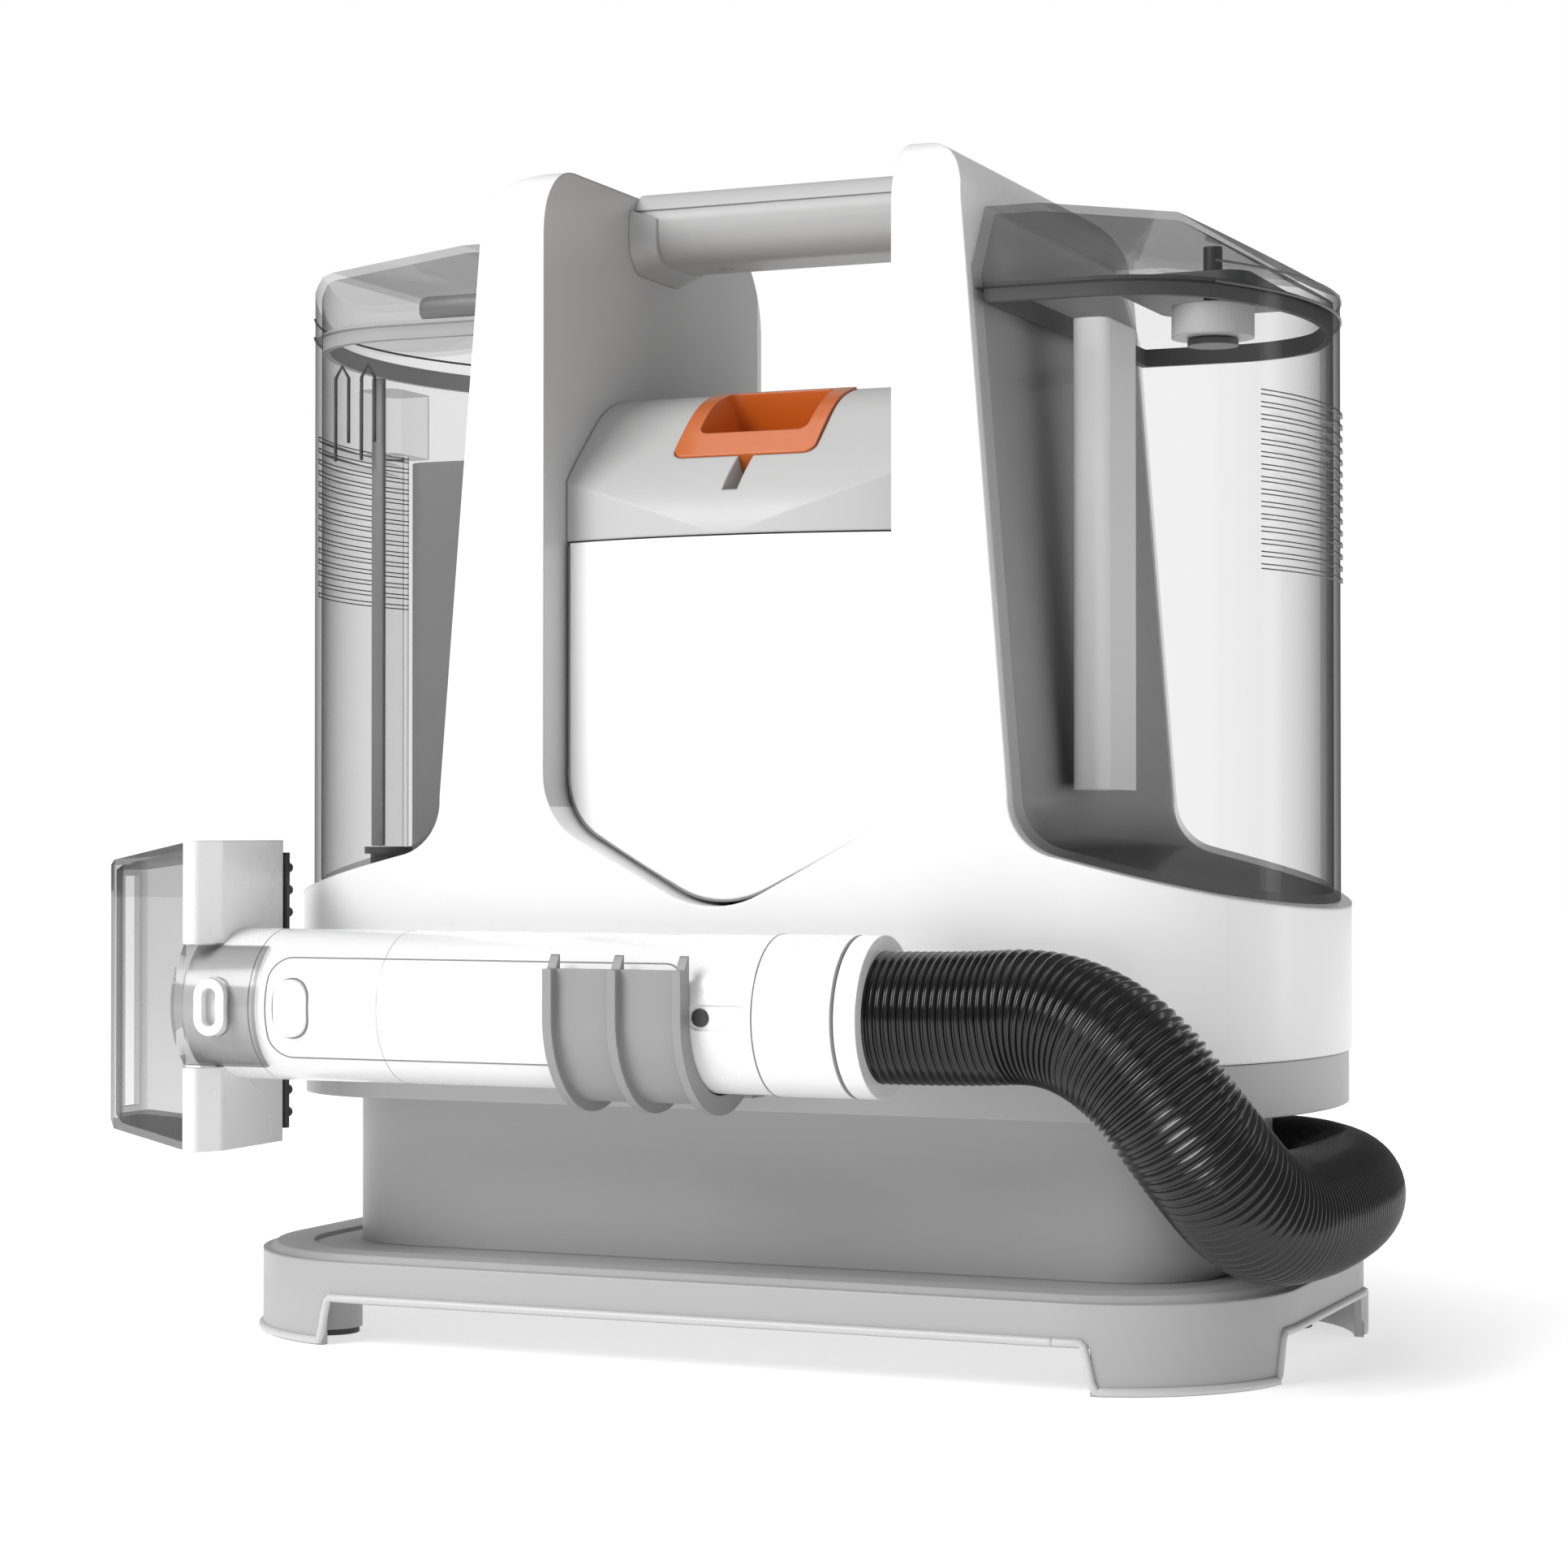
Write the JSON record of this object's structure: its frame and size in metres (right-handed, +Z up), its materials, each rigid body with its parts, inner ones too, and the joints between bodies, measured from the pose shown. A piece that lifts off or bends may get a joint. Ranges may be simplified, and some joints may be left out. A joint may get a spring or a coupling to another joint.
{
  "type": "spot extractor",
  "caption": "Portable spot extractor with lift-off water tanks, a carrying handle between two pillars, a docked hand wand and a corrugated suction hose.",
  "frame": {"origin": "on the floor, under the middle of the machine with its wand docked, not counting the hose", "axes": "+Z up, front towards -Y, +X towards the recovery tank"},
  "size_m": [0.4046, 0.287, 0.381],
  "materials": {
    "white": "satin gloss moulding",
    "light_grey": "fine satin grain",
    "mid_grey": "fine satin grain",
    "orange": "gloss",
    "clear": "clear moulding",
    "smoke": "smoked clear moulding",
    "hose_black": "gloss, corrugated",
    "dark": "matte",
    "seal": "soft",
    "steel": "zinc plated",
    "board": "solder mask"
  },
  "bodies": {
    "machine": {"plinth": "light_grey", "rubber_feet": "seal", "hose_channel": "mid_grey", "lower_skirt": "light_grey", "housing": "white", "rear_cover": "white", "cover_screws": "steel", "front_panel": "white", "top_cap": "light_grey", "button_spring": "steel", "power_switch": "dark", "handle_upper": "light_grey", "handle_lower": "light_grey", "handle_screws": "steel", "wand_cradle": "mid_grey", "vacuum_motor": "steel", "fan_housing": "dark", "exhaust_filter": "dark", "water_pump": "dark", "control_board": "board", "valve_seat": "mid_grey", "cord_gland": "seal", "hose_elbow": "mid_grey", "hose": "hose_black"},
    "power_button": {"power_button": "orange"},
    "clean_tank": {"clean_tank": "clear", "clean_valve": "dark", "pickup_tube": "clear", "dosing_chamber": "smoke"},
    "clean_lid": {"clean_lid": "clear", "clean_seal": "seal"},
    "recovery_tank": {"recovery_tank": "smoke", "recovery_riser": "smoke"},
    "recovery_lid": {"recovery_lid": "smoke", "recovery_seal": "seal", "float_guide": "dark"},
    "float": {"recovery_float": "mid_grey"},
    "impeller": {"impeller": "light_grey"},
    "wand": {"wand_tube": "white", "wand_inlay": "white", "wand_cuff": "white", "head_shell": "white", "brush_block": "dark", "brush_nubs": "dark"},
    "spray_button": {"spray_button": "white"},
    "swivel_pin": {"swivel_pin": "dark"},
    "nozzle": {"nozzle_cover": "clear"},
    "head_latch": {"head_latch": "white"}
  },
  "joints": [
    {"name": "power_button_press", "type": "slide", "parent": "machine", "child": "power_button", "axis": [0, 0.5501, -0.8351], "range_m": [0, 0.003], "stiffness_N_per_m": 600},
    {"name": "clean_tank_lift", "type": "slide", "parent": "machine", "child": "clean_tank", "axis": [0, 0, 1], "range_m": [0, 0.24]},
    {"name": "clean_lid_lift", "type": "slide", "parent": "clean_tank", "child": "clean_lid", "axis": [0, 0, 1], "range_m": [0, 0.06]},
    {"name": "recovery_tank_lift", "type": "slide", "parent": "machine", "child": "recovery_tank", "axis": [0, 0, 1], "range_m": [0, 0.24]},
    {"name": "recovery_lid_lift", "type": "slide", "parent": "recovery_tank", "child": "recovery_lid", "axis": [0, 0, 1], "range_m": [0, 0.1]},
    {"name": "float_rise", "type": "slide", "parent": "recovery_lid", "child": "float", "axis": [0, 0, 1], "range_m": [0, 0.0035]},
    {"name": "impeller_spin", "type": "hinge", "parent": "machine", "child": "impeller", "pos_m": [0.01, 0.01605, 0.19], "axis": [0, 0, 1], "continuous": true},
    {"name": "wand_lift", "type": "slide", "parent": "machine", "child": "wand", "axis": [0, 0, 1], "range_m": [0, 0.055]},
    {"name": "spray_button_press", "type": "slide", "parent": "wand", "child": "spray_button", "axis": [0, 1, 0], "range_m": [0, 0.0015], "stiffness_N_per_m": 300},
    {"name": "swivel_pin_press", "type": "slide", "parent": "wand", "child": "swivel_pin", "axis": [0, 1, 0], "range_m": [0, 0.002], "stiffness_N_per_m": 300},
    {"name": "nozzle_slide", "type": "slide", "parent": "wand", "child": "nozzle", "axis": [-1, 0, 0], "range_m": [0, 0.045]},
    {"name": "head_latch_press", "type": "slide", "parent": "nozzle", "child": "head_latch", "axis": [0, 1, 0], "range_m": [0, 0.001], "stiffness_N_per_m": 300}
  ]
}
